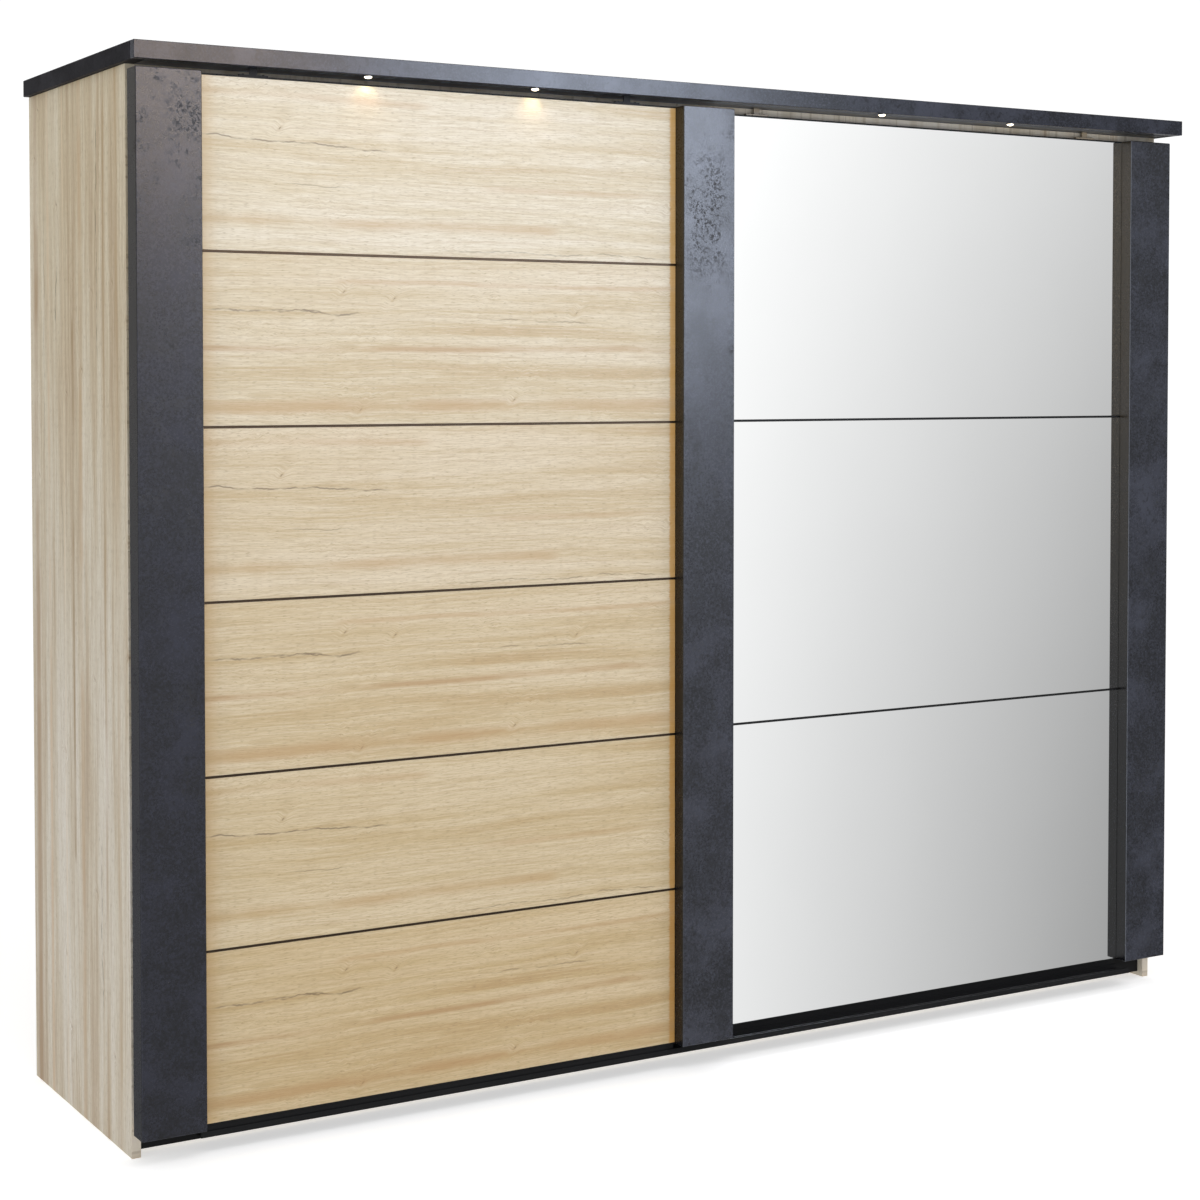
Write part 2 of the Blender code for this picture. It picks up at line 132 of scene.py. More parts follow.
def oakFinish(name, look):
    # Melamine-faced chipboard, its paper printed with light oak and pressed against an embossed plate.
    # The eye gets soft tan bands, fine fibres along the board, dark pores, thin grey cracks and a satin skin.
    material, tree, shader = newMaterial(name)
    coordinates = addNode(tree, "ShaderNodeTexCoord").outputs["Object"]
    place = addNode(tree, "ShaderNodeMapping", {0: coordinates, 1: look["shift"], 2: look["turn"]}).outputs[0]
    parts = addNode(tree, "ShaderNodeSeparateXYZ", {0: place})
    along, across = parts.outputs[0], parts.outputs[2]

    def grain(lengthMm, widthMm, level, detail=2.0, rough=0.5, distortion=0.0, offset=0.0):
        # noise drawn out along the grain, its spots about lengthMm by widthMm
        spot = addNode(tree, "ShaderNodeCombineXYZ", {
            0: calc(tree, "MULTIPLY_ADD", along, 1000 / lengthMm, offset),
            1: calc(tree, "MULTIPLY", level, 1000 / widthMm)}).outputs[0]
        return addNode(tree, "ShaderNodeTexNoise", {"Vector": spot, "Scale": 1.0, "Detail": detail,
                       "Roughness": rough, "Distortion": distortion}, noise_dimensions="2D").outputs[0]

    # the lines rise and dip gently over half a metre, and tremble in a few patches of ripple figure
    sway = calc(tree, "MULTIPLY_ADD", grain(560, 190, across, 2, 0.5), look["sway"], -0.5 * look["sway"])
    ripple = calc(tree, "MULTIPLY", fade(tree, grain(260, 90, across, 2, 0.5, 0.0, 21.0), 0.56, 0.70),
                  calc(tree, "SUBTRACT", grain(17, 11, across, 2, 0.5, 0.0, 31.0), 0.5))
    level = calc(tree, "MULTIPLY_ADD", ripple, 0.009, calc(tree, "ADD", across, sway))
    # small knots set askew, a few to a board
    gap = look["knotGap"]
    spots = addNode(tree, "ShaderNodeCombineXYZ", {
        0: calc(tree, "MULTIPLY", calc(tree, "MULTIPLY_ADD", across, -0.8, along), 1000 / gap[0]),
        1: calc(tree, "MULTIPLY", across, 1000 / gap[1])}).outputs[0]
    knot = addNode(tree, "ShaderNodeTexVoronoi", {"Vector": spots, "Scale": 1.0, "Randomness": 0.9},
                   voronoi_dimensions="2D").outputs
    knots = calc(tree, "MULTIPLY_ADD", grain(9, 9, across, 1, 0.5), 0.03, knot["Distance"])
    chosen = fade(tree, addNode(tree, "ShaderNodeSeparateColor", {0: knot["Color"]}).outputs[0], 0.72, 0.78)
    swirl = calc(tree, "MULTIPLY", fade(tree, knots, 0.22, 0.0), chosen)
    level = calc(tree, "MULTIPLY_ADD", swirl, 0.008, level)
    bands = grain(780, 24, level, 3, 0.55, 0.3, 3.7)
    tones = grain(1200, 75, level, 2, 0.5, 0.2, 8.1)
    lines = grain(330, 5.2, level, 3, 0.6, 0.2, 11.3)
    fibres = grain(46, 2.2, level, 3, 0.65, 0.0, 5.1)
    pores = grain(15, 1.5, level, 1, 0.5, 0.0, 7.9)

    broad = calc(tree, "MULTIPLY_ADD", tones, 0.5, calc(tree, "MULTIPLY", bands, 0.5))
    colour = ramp(tree, broad, *look["bands"])
    colour = tint(tree, fade(tree, lines, 0.50, 0.28, 0.0, look["lineDepth"]), colour, linear(look["line"]))
    colour = tint(tree, fade(tree, lines, 0.54, 0.72, 0.0, 0.35), colour, linear(look["pale"]))
    colour = tint(tree, fade(tree, fibres, 0.56, 0.34, 0.0, look["fibreDepth"]), colour,
                  linear(look["fibre"]))
    colour = tint(tree, fade(tree, fibres, 0.55, 0.70, 0.0, 0.30), colour, linear(look["pale"]))
    colour = tint(tree, fade(tree, pores, 0.62, 0.74, 0.0, 0.38), colour, linear(look["pore"]))
    halo = calc(tree, "MULTIPLY", fade(tree, knots, 0.075, 0.030, 0.0, 0.6 * look["knotDepth"]), chosen)
    heart = calc(tree, "MULTIPLY", fade(tree, knots, 0.034, 0.020, 0.0, look["knotDepth"]), chosen)
    colour = tint(tree, halo, colour, linear(look["line"]))
    colour = tint(tree, heart, colour, linear(look["crack"]))

    if "edges" in look:
        # painted shade along a board's two ends, beside the pilasters that stand proud of it: a warm band at
        # the left end, and at the right a ragged amber strip of painted shadow
        left, right = look["edges"]
        ragged = calc(tree, "MULTIPLY_ADD", grain(40, 6, across, 2, 0.6, 0.0, 41.0), 0.006, along)
        colour = tint(tree, fade(tree, along, left + 0.050, left, 0.0, 0.55), colour, linear(look["warmEndShade"]))
        colour = tint(tree, fade(tree, ragged, right - 0.014, right - 0.009, 0.0, 0.75), colour,
                      linear(look["amberEndShadow"]))

    # marks of the print: each a wavering line at its own height, from start to end along the board
    for mark in look["marks"]:
        waver = calc(tree, "MULTIPLY_ADD", grain(mark["waveMm"], 500, across, 4, 0.62, 0.0, mark["seed"]),
                     mark["waver"], mark["height"] - 0.5 * mark["waver"])
        path = calc(tree, "MULTIPLY_ADD", along, mark["slope"], waver)
        far = calc(tree, "ABSOLUTE", calc(tree, "SUBTRACT", across, path))
        body = fade(tree, far, mark["width"], 0.15 * mark["width"])
        begin = fade(tree, along, mark["start"], mark["start"] + mark["taper"])
        stop = fade(tree, along, mark["end"], mark["end"] - mark["taper"])
        patchy = fade(tree, grain(mark["patchMm"], 500, across, 2, 0.6, 0.0, mark["seed"] + 4.0), 0.32, 0.62,
                      mark["faintest"], 1.0)
        strength = calc(tree, "MULTIPLY", calc(tree, "MULTIPLY", begin, stop),
                        calc(tree, "MULTIPLY", calc(tree, "MULTIPLY", body, patchy), mark["depth"]))
        colour = tint(tree, strength, colour, linear(mark["colour"]))

    # an overall tint; on the lower door boards it is partly painted shade
    colour = tint(tree, 1.0, colour, linear(look["toneAndShade"]), "MULTIPLY")
    if "top" in look:
        # a little darker and yellower towards the top
        colour = tint(tree, fade(tree, along, 0.5, 2.1), colour, linear(look["top"]), "MULTIPLY")
    tree.links.new(colour, shader.inputs["Base Color"])
    tree.links.new(fade(tree, fibres, 0.3, 0.7, look["roughness"] + 0.05, look["roughness"] - 0.04),
                   shader.inputs["Roughness"])
    relief = calc(tree, "SUBTRACT", fibres, calc(tree, "MULTIPLY", fade(tree, pores, 0.64, 0.74), 0.6))
    bump = addNode(tree, "ShaderNodeBump", {"Strength": 0.35, "Distance": 0.00012, "Height": relief})
    tree.links.new(bump.outputs[0], shader.inputs["Normal"])
    shader.inputs["IOR"].default_value = 1.5
    shader.inputs["Specular IOR Level"].default_value = look["gloss"]
    return material


doorOak = {
    "turn": level, "shift": (0, 0, 0), "sway": 0.022, "roughness": 0.46, "gloss": 0.4,
    "toneAndShade": "#FFFFFF",
    "bands": ((0.34, "#C6B18D"), (0.43, "#D0C1A2"), (0.52, "#D8CCB3"), (0.64, "#DFD5C1")),
    "line": "#B89F7A", "lineDepth": 0.30, "pale": "#E6DECD", "fibre": "#BBAA8B", "fibreDepth": 0.42,
    "pore": "#9A8765", "knotDepth": 0.62, "knotGap": (110, 190), "crack": "#75664F", "marks": (),
    # the colours of the painted shade at the boards' two ends, beside the pilasters
    "warmEndShade": "#CFAE78", "amberEndShadow": "#C99A4C",
}
carcassOak = dict(doorOak, turn=upright, sway=0.026, roughness=0.48,
                  bands=((0.33, "#C3B098"), (0.43, "#D4C7B1"), (0.53, "#E0D8C8"), (0.68, "#EAE4D9")),
                  line="#B59A7C", lineDepth=0.42, pale="#E6DDCB", fibre="#BCAB8F", fibreDepth=0.36,
                  pore="#96846A", crack="#6E5F4A")

# the two prints that the door boards take in turn, heights from a board's lower edge,
# on a board 1.091 m by 0.336 m
crack = {"waveMm": 120, "waver": 0.020, "slope": 0.0, "taper": 0.05, "width": 0.0024, "depth": 0.85,
         "colour": "#85765F", "seed": 1.0, "patchMm": 45, "faintest": 0.12}
streak = dict(crack, start=-1.3, end=0.0, waveMm=420, waver=0.014, patchMm=300, faintest=0.25,
              colour="#BFA178", depth=0.5)
printA = (
    dict(crack, height=0.164, slope=-0.050, start=-1.23, end=-0.80, seed=2.0),
    dict(crack, height=0.133, start=-1.06, end=-0.84, width=0.0016, depth=0.55, seed=12.0),
    dict(crack, height=0.012, start=-0.70, end=-0.15, width=0.0020, depth=0.60, seed=15.0),
    dict(streak, height=0.060, width=0.016, end=-0.40, seed=8.0),
    dict(streak, height=0.142, width=0.009, start=-0.62, depth=0.40, seed=10.0),
    dict(streak, height=0.305, width=0.011, end=-0.70, depth=0.40, seed=13.0),
)
printB = (
    dict(crack, height=0.205, slope=-0.020, start=-1.23, end=-0.86, waver=0.030, width=0.0030, seed=3.0),
    dict(crack, height=0.196, slope=-0.030, start=-1.12, end=-0.92, waver=0.040, width=0.0018, seed=9.0),
    dict(crack, height=0.210, start=-0.62, end=-0.32, waver=0.024, depth=0.5, seed=17.0),
    dict(streak, height=0.152, width=0.010, depth=0.62, colour="#B5946A", seed=4.0),
    dict(streak, height=0.285, width=0.008, start=-0.95, depth=0.45, seed=11.0),
    dict(streak, height=0.036, width=0.020, depth=0.62, seed=5.0),
)
# the lower boards are tinted tanner and darker: partly the print's own tan, partly painted shade, the light
# falling off down the door
boardShadeTones = ("#F0E4CE", "#F3EAD9", "#F6EEE0", "#F9F3EA", "#FCF9F4", "#FFFFFF")  # the lower boards are tanner
for number in range(1, 7):
    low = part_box(f"oak_panel_{number}")[0].z
    upper = number % 2 == 0  # boards 6, 4 and 2 carry print A
    # edges: the board's two ends, where the painted shade beside the pilasters lies
    look = dict(doorOak, shift=(0, 0, -low + (0.0 if upper else 4.0)), toneAndShade=boardShadeTones[number - 1],
                edges=(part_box(f"oak_panel_{number}")[0].x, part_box(f"oak_panel_{number}")[1].x))
    look["marks"] = [dict(mark, height=mark["height"] + (0.0 if upper else 4.0)) for mark in
                     (printA if upper else printB)]
    wear(oakFinish(f"door_oak_{number}", look), f"oak_panel_{number}")
strip = dict(streak, start=-0.1, end=2.3, width=0.013, waver=0.006, depth=0.55)
split = dict(crack, width=0.0026, colour="#6E5F4A", depth=0.8)
sideOak = dict(carcassOak, top="#FBF6E8", marks=[
    dict(strip, height=0.318, width=0.026, depth=0.8, colour="#B3987A", seed=21.0),
    dict(strip, height=0.232, colour="#DDC3A4", seed=22.0),
    dict(strip, height=0.130, width=0.008, colour="#E9DAC4", seed=23.0),
    dict(strip, height=0.072, start=0.5, end=1.66, width=0.010, depth=0.8, colour="#A98F6D", seed=24.0),
    dict(strip, height=0.020, width=0.018, colour="#C9AC87", seed=25.0),
    dict(strip, height=-0.128, width=0.010, colour="#B1946F", seed=26.0),
    dict(strip, height=-0.205, width=0.014, depth=0.4, colour="#BFA580", seed=27.0),
    dict(split, height=-0.086, start=1.54, end=2.08, seed=28.0),
    dict(split, height=0.262, start=1.34, end=1.98, width=0.0016, depth=0.6, seed=29.0),
    dict(split, height=0.178, start=1.60, end=1.76, waver=0.034, width=0.0034, seed=30.0),
    dict(split, height=0.000, start=0.96, end=1.20, width=0.0016, depth=0.6, seed=31.0),
    dict(split, height=-0.096, start=0.22, end=0.62, waver=0.030, seed=32.0),
    dict(split, height=0.146, start=1.12, end=1.32, waver=0.030, width=0.0018, depth=0.6, seed=33.0),
])
wear(oakFinish("side_oak", sideOak), "side_panel_left", "side_panel_right", "centre_partition")
wear(oakFinish("shelf_oak", dict(carcassOak, turn=lying, gloss=0.15)), "top_panel", "bottom_panel",
     "hat_shelf_left", "hat_shelf_right")
print("oak done")

# ---- slate decor


def slateFinish(name, look):
    # Melamine board printed as slate: clouds a hand wide, a grain of 2 to 3 mm, and patches where the print
    # is broken into dark specks. A satin skin, so that light from the front spreads in a broad soft sheen.
    material, tree, shader = newMaterial(name)
    coordinates = addNode(tree, "ShaderNodeTexCoord").outputs["Object"]
    place = addNode(tree, "ShaderNodeMapping", {0: coordinates, 1: look["shift"]}).outputs[0]

    def noise(sizeMm, detail=2.0, rough=0.5, distortion=0.0):
        return addNode(tree, "ShaderNodeTexNoise", {"Vector": place, "Scale": 1000 / sizeMm, "Detail": detail,
                       "Roughness": rough, "Distortion": distortion}).outputs[0]

    clouds = noise(120, 3, 0.55)
    grit = noise(5.0, 4, 0.8)
    patches = fade(tree, noise(75, 3, 0.6, 0.6), 0.54, 0.68)
    specks = fade(tree, noise(7, 2, 0.6, 1.2), 0.50, 0.60)
    colour = ramp(tree, clouds, (0.30, look["dark"]), (0.50, look["middle"]), (0.70, look["light"]))
    colour = tint(tree, fade(tree, grit, 0.44, 0.66, 0.0, 0.9), colour, linear(look["light"]))
    hollows = fade(tree, noise(14, 3, 0.7, 0.8), 0.50, 0.30, 0.0, 0.7)
    colour = tint(tree, hollows, colour, linear(look["dark"]))
    parts = addNode(tree, "ShaderNodeSeparateXYZ", {0: coordinates}).outputs

    def off(axis, place):
        return calc(tree, "ABSOLUTE", calc(tree, "SUBTRACT", parts[axis], place))

    # where the print is most broken
    nearby = calc(tree, "MULTIPLY", fade(tree, off(0, look["cluster"][0]), 0.075, 0.02),
                  fade(tree, off(2, look["cluster"][1]), 0.20, 0.06))
    thick = fade(tree, noise(38, 3, 0.65, 0.5), 0.40, 0.56)
    patches = calc(tree, "MAXIMUM", patches, calc(tree, "MULTIPLY", nearby, thick))
    broken = calc(tree, "MULTIPLY", patches, specks)
    colour = tint(tree, calc(tree, "MULTIPLY", broken, look["breaks"]), colour, linear(look["speck"]))
    # hairline cracks, a few to a metre
    warp = addNode(tree, "ShaderNodeVectorMath", {0: place, 1: addNode(tree, "ShaderNodeTexNoise", {
        "Vector": place, "Scale": 14.0, "Detail": 3.0}).outputs[1]}, operation="ADD").outputs[0]
    cells = addNode(tree, "ShaderNodeTexVoronoi", {"Vector": warp, "Scale": 4.0},
                    feature="DISTANCE_TO_EDGE").outputs["Distance"]
    hairs = calc(tree, "MULTIPLY", fade(tree, cells, 0.010, 0.002), fade(tree, noise(60), 0.56, 0.66))
    colour = tint(tree, calc(tree, "MULTIPLY", hairs, look["hairs"]), colour, linear(look["speck"]))
    # the return along the left edge has a foil of its own, with painted shade that darkens it to the foot,
    # and in front a pale line, a painted highlight where the front edge would catch the light
    foilAndShade = ramp(tree, fade(tree, parts[2], 0.5, 2.1), (0.0, look["foot"]), (1.0, look["foilAndShade"]))
    wrap = fade(tree, parts[0], look["left"] + 0.0010, look["left"] + 0.0004, 0.0, 0.92)
    colour = tint(tree, wrap, colour, foilAndShade)
    # painted highlight: a pale line along the front face's left edge
    edgeHighlight = fade(tree, off(0, look["left"] + 0.0016), 0.0009, 0.0004)
    colour = tint(tree, calc(tree, "MULTIPLY", edgeHighlight, look["edgeHighlight"]), colour, linear("#7A7F88"))
    # an overall tint; on the left pilaster and the cornice's sides it is painted shade
    colour = tint(tree, 1.0, colour, linear(look["toneAndShade"]), "MULTIPLY")
    tree.links.new(colour, shader.inputs["Base Color"])
    rough = calc(tree, "MULTIPLY_ADD", grit, 0.14, look["roughness"] - 0.09)
    rough = calc(tree, "MULTIPLY_ADD", clouds, -0.12, calc(tree, "ADD", rough, 0.06))
    rough = calc(tree, "MULTIPLY_ADD", broken, 0.35 * look["breaks"], rough)
    tree.links.new(rough, shader.inputs["Roughness"])
    height = calc(tree, "SUBTRACT", grit, calc(tree, "MULTIPLY", broken, look["breaks"]))
    bump = addNode(tree, "ShaderNodeBump", {"Strength": 0.30, "Distance": 0.0002, "Height": height})
    tree.links.new(bump.outputs[0], shader.inputs["Normal"])
    shader.inputs["IOR"].default_value = 1.5
    shader.inputs["Specular IOR Level"].default_value = look["gloss"]
    return material


slate = {
    "dark": "#111217", "middle": "#22242C", "light": "#3B3E4A", "speck": "#0C0D10", "toneAndShade": "#FFFFFF",
    # the return's foil, darkened by painted shade to the foot colour; the strength of the painted edge
    # highlight
    "breaks": 0.85, "hairs": 0.5, "roughness": 0.30, "gloss": 0.35, "foilAndShade": "#342D20", "foot": "#040405",
    "edgeHighlight": 0.0,
}
# the left pilaster takes a darker, bluer copy of the slate: painted shade; the last colour of each is the
# painted shade at its return's foot
for name, piece, shift, cluster, edgeHighlight, toneAndShade, foot in (
        ("slate_left_shaded", "oak_pilaster_left", (0, 0, 0), (-1.235, 1.99), 0.1, "#B8B8C6", "#2C2E36"),
        ("slate_centre", "oak_pilaster_centre", (0.35, 0, 0.22), (-0.062, 1.87), 0.1, "#FFFFFF", "#121213"),
        ("slate_right", "mirror_pilaster_right", (0.7, 0, 0.5), (1.29, 0.50), 0.6, "#FFFFFF", "#040405")):
    wear(slateFinish(name, dict(slate, shift=shift, cluster=cluster, edgeHighlight=edgeHighlight, toneAndShade=toneAndShade, foot=foot,
                                left=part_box(piece)[0].x)), piece)
corniceSlate = dict(slate, shift=(0, 0.4, 0.9), cluster=(0.5, 0.0), left=-1.40, roughness=0.25, gloss=0.20,
                    hairs=0.0, breaks=0.05)
wear(slateFinish("slate_cornice", corniceSlate), "cornice_front")
# the cornice's sides: a duller copy, tinted darker and warmer as painted shade on the faces turned from the
# light
wear(slateFinish("slate_cornice_sides_shaded", dict(corniceSlate, roughness=0.5, gloss=0.05, toneAndShade="#C8BBB4")),
     "cornice_left", "cornice_right")
print("slate done")

# ---- metals, plastics and glass


def coatedFinish(name, colour, roughness, peelMm, depth, gloss=0.5):
    # Powder-coated steel or moulded plastic in one colour: a fine orange peel that breaks up the highlights,
    # and a slight drift of colour and gloss over the surface.
    material, tree, shader = newMaterial(name)
    coordinates = addNode(tree, "ShaderNodeTexCoord").outputs["Object"]
    peel = addNode(tree, "ShaderNodeTexNoise", {"Vector": coordinates, "Scale": 1000 / peelMm,
                   "Detail": 2.0}).outputs[0]
    drift = addNode(tree, "ShaderNodeTexNoise", {"Vector": coordinates, "Scale": 6.0,
                    "Detail": 2.0}).outputs[0]
    pale = tuple(min(1.0, c * 1.25 + 0.002) for c in linear(colour)[:3]) + (1.0,)
    tree.links.new(tint(tree, fade(tree, drift, 0.3, 0.7), linear(colour), pale), shader.inputs["Base Color"])
    tree.links.new(calc(tree, "MULTIPLY_ADD", peel, 0.10, roughness - 0.05), shader.inputs["Roughness"])
    bump = addNode(tree, "ShaderNodeBump", {"Strength": depth, "Distance": 0.0002, "Height": peel})
    tree.links.new(bump.outputs[0], shader.inputs["Normal"])
    shader.inputs["Specular IOR Level"].default_value = gloss
    return material


def drawnFinish(name, colour, roughness, lineMm, depth):
    # Metal drawn or extruded along X: faint lines along the bar, so that the gloss runs in streaks.
    material, tree, shader = newMaterial(name)
    coordinates = addNode(tree, "ShaderNodeTexCoord").outputs["Object"]
    across = 1000 / lineMm
    stretched = addNode(tree, "ShaderNodeMapping", {0: coordinates, 3: (5, across, across)}).outputs[0]
    lines = addNode(tree, "ShaderNodeTexNoise", {"Vector": stretched, "Scale": 1.0, "Detail": 2.0}).outputs[0]
    dark = tuple(c * 0.82 for c in linear(colour)[:3]) + (1.0,)
    tree.links.new(tint(tree, fade(tree, lines, 0.3, 0.7), dark, linear(colour)), shader.inputs["Base Color"])
    tree.links.new(calc(tree, "MULTIPLY_ADD", lines, 0.16, roughness - 0.08), shader.inputs["Roughness"])
    bump = addNode(tree, "ShaderNodeBump", {"Strength": depth, "Distance": 0.0001, "Height": lines})
    tree.links.new(bump.outputs[0], shader.inputs["Normal"])
    shader.inputs["Metallic"].default_value = 1.0
    return material


def mirrorFinish(name, look):
    # Silvered float glass: a clean cool reflection, with the faint haze of a wiped surface.
    material, tree, shader = newMaterial(name)
    coordinates = addNode(tree, "ShaderNodeTexCoord").outputs["Object"]
    haze = addNode(tree, "ShaderNodeTexNoise", {"Vector": coordinates, "Scale": 3.5,
                   "Detail": 3.0}).outputs[0]
    tree.links.new(tint(tree, fade(tree, haze, 0.35, 0.65), linear(look["deep"]), linear(look["clear"])),
                   shader.inputs["Base Color"])
    tree.links.new(fade(tree, haze, 0.3, 0.7, 0.0, look["haze"]), shader.inputs["Roughness"])
    shader.inputs["Metallic"].default_value = 1.0
    return material


def hardboardFinish(name, look):
    # Thin printed hardboard: a warm ground with short pressed fibres, dull on the rear.
    material, tree, shader = newMaterial(name)
    coordinates = addNode(tree, "ShaderNodeTexCoord").outputs["Object"]
    tufts = addNode(tree, "ShaderNodeTexNoise", {"Vector": coordinates, "Scale": 260.0, "Detail": 3.0,
                    "Distortion": 1.5}).outputs[0]
    broad = addNode(tree, "ShaderNodeTexNoise", {"Vector": coordinates, "Scale": 5.0,
                    "Detail": 3.0}).outputs[0]
    colour = ramp(tree, broad, (0.35, look["dark"]), (0.65, look["light"]))
    colour = tint(tree, fade(tree, tufts, 0.48, 0.66, 0.0, 0.5), colour, linear(look["fibre"]))
    tree.links.new(colour, shader.inputs["Base Color"])
    tree.links.new(calc(tree, "MULTIPLY_ADD", tufts, 0.15, 0.58), shader.inputs["Roughness"])
    bump = addNode(tree, "ShaderNodeBump", {"Strength": 0.4, "Distance": 0.0002, "Height": tufts})
    tree.links.new(bump.outputs[0], shader.inputs["Normal"])
    return material


blackSteel = coatedFinish("black_powder_coat", "#0C0C0D", 0.55, 1.2, 0.35, 0.16)
hangerSteel = coatedFinish("black_passivated_steel", "#101011", 0.55, 0.9, 0.25, 0.16)
sandSteel = coatedFinish("sand_powder_coat", "#8F8068", 0.45, 1.0, 0.3)
chromeSteel = drawnFinish("chromed_tube", "#D6D8DA", 0.12, 1.5, 0.05)
trackAluminium = drawnFinish("anodised_track", "#77797E", 0.38, 1.0, 0.3)
bronzeTrim = drawnFinish("bronze_anodised_trim", "#3E342B", 0.45, 0.6, 0.3)
polyamide = coatedFinish("roller_polyamide", "#1B1B1A", 0.40, 2.0, 0.15)
rubber = coatedFinish("stop_rubber", "#141414", 0.75, 0.8, 0.5)
hardboard = hardboardFinish("hardboard", {"dark": "#A5977F", "light": "#ACA087", "fibre": "#8F8168"})
silvered = mirrorFinish("silvered_glass", {"deep": "#FAFBFB", "clear": "#FBFCFC", "haze": 0.003})

wear(blackSteel, "plinth", "rear_plinth", "bottom_guide_rail", "oak_door_top_profile", "oak_door_runner",
     "mirror_edge_profile", "mirror_trim_1", "mirror_trim_2", "mirror_door_top_profile", "mirror_door_runner")
wear(bronzeTrim, *[f"oak_trim_{n}" for n in range(1, 6)])
wear(trackAluminium, "top_track")
wear(hangerSteel, "oak_hanger_left", "oak_hanger_right")
wear(sandSteel, "mirror_hanger_left", "mirror_hanger_right")
wear(chromeSteel, "hanging_rail_left", "hanging_rail_right")
wear(polyamide, "oak_roller_left", "oak_roller_right", "mirror_roller_left", "mirror_roller_right")
wear(rubber, "oak_stop_left", "oak_stop_right", "mirror_stop_left", "mirror_stop_right")
wear(hardboard, "back_panel_left", "back_panel_right", "mirror_backing")
wear(silvered, "mirror_pane_1", "mirror_pane_2", "mirror_pane_3")
print("metals and glass done")

# ---- light spots under the cornice

lensGlow, lensTree, lensShader = newMaterial("warm_lens")
# Opal polycarbonate lens over a warm LED: an even cream glow, finely specked.
lensShader.inputs["Base Color"].default_value = linear("#FFF3DC")
lensShader.inputs["Roughness"].default_value = 0.35
lensPlace = addNode(lensTree, "ShaderNodeTexCoord").outputs["Object"]
lensSpeck = addNode(lensTree, "ShaderNodeTexNoise", {"Vector": lensPlace, "Scale": 900.0}).outputs[0]
lensTree.links.new(ramp(lensTree, lensSpeck, (0.3, "#FFE9BE"), (0.7, "#FFF6E0")),
                   lensShader.inputs["Emission Color"])
lensShader.inputs["Emission Strength"].default_value = 6.0
ringMetal = drawnFinish("spot_ring_steel", "#9A9C9F", 0.28, 0.5, 0.2)


def spun(outline, steps):
    # an outline of (radius, height) points turned about an upright axis
    shape = bmesh.new()
    points = [shape.verts.new((radius, 0, height)) for radius, height in outline]
    edges = [shape.edges.new(pair) for pair in zip(points, points[1:])]
    bmesh.ops.spin(shape, geom=points + edges, cent=(0, 0, 0), axis=(0, 0, 1), angle=math.tau, steps=steps,
                   use_merge=True)
    bmesh.ops.remove_doubles(shape, verts=shape.verts, dist=1e-6)
    bmesh.ops.recalc_face_normals(shape, faces=shape.faces)
    return shape


def turned(name, outline, centre, material):
    shape = spun(outline, 32)
    bmesh.ops.translate(shape, verts=shape.verts, vec=centre)
    for face in shape.faces:
        face.smooth = True
    return finished(name, shape, material)


def finished(name, shape, material):
    mesh = bpy.data.meshes.new(name)
    shape.to_mesh(mesh)
    shape.free()
    mesh.materials.append(material)
    piece = bpy.data.objects.new(name, mesh)
    scene.collection.objects.link(piece)
    return piece


spot = {"ring": 0.009, "lens": 0.0080, "power": 0.08, "warmth": "#FFE3AE", "cone": 126}
for number in range(1, 5):
    low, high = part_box(f"light_spot_{number}")
    centre = Vector(((low.x + high.x) / 2, (low.y + high.y) / 2, low.z))
    tall = high.z - low.z
    outer, inner = spot["ring"], spot["lens"]
    ring = turned(f"spot_ring_{number}", [
        (outer, tall), (outer, 0.0042), (outer - 0.0004, 0.0036), (inner + 0.0003, 0.0036),
        (inner, 0.0040), (inner, 0.0050), (0.0, 0.0050), (0.0, tall), (outer, tall)], centre, ringMetal)
    lens = turned(f"spot_lens_{number}", [
        (0.0, 0.0), (0.0030, 0.0003), (0.0058, 0.0012), (inner - 0.0008, 0.0024),
        (inner - 0.0002, 0.0038), (inner - 0.0002, 0.0048), (0.0, 0.0048), (0.0, 0.0)], centre, lensGlow)
    for piece in (ring, lens):
        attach(piece, "carcass")
        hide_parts(f"light_spot_{number}")
    lampData = bpy.data.lights.new(f"spot_lamp_{number}", "SPOT")
    lampData.energy = spot["power"]
    lampData.color = linear(spot["warmth"])[:3]
    lampData.shadow_soft_size = 0.003
    lampData.spot_size = math.radians(spot["cone"])
    lampData.spot_blend = 0.8
    lamp = bpy.data.objects.new(f"spot_lamp_{number}", lampData)
    scene.collection.objects.link(lamp)
    lamp.location = (centre.x, centre.y, centre.z - 0.004)
    lamp.visible_camera = False
    lamp.visible_glossy = False
print("light spots done")

# ---- fixings and fittings of the carcass and the doors


def blocks(name, boxes, edge, material, body):
    # small bevelled blocks, each from a low to a high corner
    shape = bmesh.new()
    for low, high in boxes:
        before = len(shape.verts)
        middle = (Vector(low) + Vector(high)) / 2
        size = Vector(high) - Vector(low)
        place = Matrix.Translation(middle) @ Matrix.Diagonal((*size, 1.0))
        bmesh.ops.create_cube(shape, size=1.0, matrix=place)
        shape.verts.ensure_lookup_table()
        edges = list({line for corner in shape.verts[before:] for line in corner.link_edges})
        bmesh.ops.bevel(shape, geom=edges, offset=edge, affect="EDGES", segments=2, profile=0.5, material=-1)
    bmesh.ops.recalc_face_normals(shape, faces=shape.faces)
    piece = finished(name, shape, material)
    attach(piece, body)


